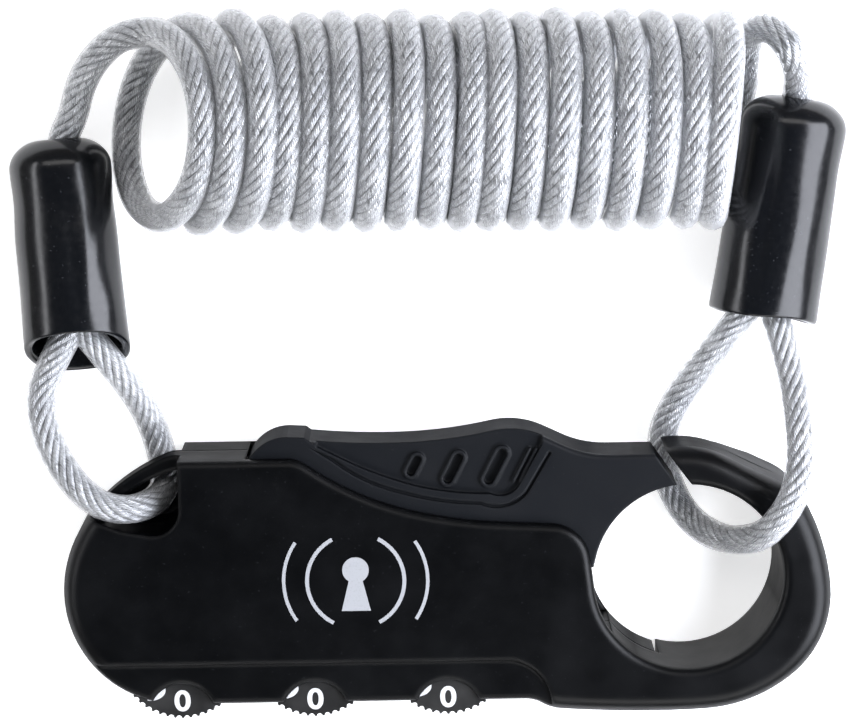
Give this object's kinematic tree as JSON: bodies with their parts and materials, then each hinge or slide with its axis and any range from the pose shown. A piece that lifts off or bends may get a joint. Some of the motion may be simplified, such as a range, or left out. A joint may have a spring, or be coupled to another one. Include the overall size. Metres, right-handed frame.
{
  "type": "cable lock",
  "caption": "Flat combination lock with dials, a sprung carabiner gate and a coiled, sleeved cable looped through its eye and ring.",
  "frame": {"origin": "under the middle of the lock body, on the surface that it lies on", "axes": "+X from the eye end to the carabiner ring, +Y from the dials towards the gate and the cable, +Z out of the lock's front face"},
  "size_m": [0.0963, 0.0829, 0.025],
  "materials": {
    "case_black": "satin black paint over die-cast zinc",
    "gate_black": "satin black paint over die-cast zinc",
    "dial_black": "satin black moulding with white printed numbers",
    "steel": "bare steel",
    "brass": "bare brass",
    "hub_plastic": "natural acetal",
    "sleeve_vinyl": "glossy soft black vinyl",
    "cable_cover": "clear vinyl over twisted steel strands"
  },
  "bodies": {
    "lock_body": {"front_housing": "case_black", "back_cover": "case_black", "cover_screws": "steel", "gate_pivot_pin": "steel", "gate_spring": "steel", "code_hub_1": "hub_plastic", "code_hub_2": "hub_plastic", "code_hub_3": "hub_plastic", "hub_washer_1": "steel", "hub_washer_2": "steel", "hub_washer_3": "steel", "dial_posts": "brass", "dial_detent": "steel", "left_sleeve": "sleeve_vinyl", "right_sleeve": "sleeve_vinyl", "left_ferrule": "steel", "right_ferrule": "steel", "cable_coil": "cable_cover", "left_lead": "cable_cover", "right_lead": "cable_cover", "left_loop": "cable_cover", "right_loop": "cable_cover"},
    "gate_assembly": {"gate": "gate_black", "gate_drive_pin": "steel"},
    "bar": {"locking_bar": "steel"},
    "first_dial": {"dial_1": "dial_black"},
    "second_dial": {"dial_2": "dial_black"},
    "third_dial": {"dial_3": "dial_black"}
  },
  "joints": [
    {"name": "gate_swing", "type": "hinge", "parent": "lock_body", "child": "gate_assembly", "pos_m": [-0.0184, 0.0116, 0.0074], "axis": [0, 0, 1], "range_deg": [-14, 0], "stiffness_Nm_per_rad": 0.02, "springref_deg": 11.46},
    {"name": "locking_bar_slide", "type": "slide", "parent": "lock_body", "child": "bar", "axis": [0, 1, 0], "range_m": [-0.00205, 0]},
    {"name": "dial_1_turn", "type": "hinge", "parent": "lock_body", "child": "first_dial", "pos_m": [-0.0315, -0.00975, 0.0075], "axis": [0, 0, 1], "continuous": true},
    {"name": "dial_2_turn", "type": "hinge", "parent": "lock_body", "child": "second_dial", "pos_m": [-0.0158, -0.00975, 0.0075], "axis": [0, 0, 1], "continuous": true},
    {"name": "dial_3_turn", "type": "hinge", "parent": "lock_body", "child": "third_dial", "pos_m": [-0.0001, -0.00975, 0.0075], "axis": [0, 0, 1], "continuous": true}
  ],
  "couplings": [
    {"joint": "locking_bar_slide", "follows": "gate_swing", "m_per_rad": 0.0083}
  ]
}
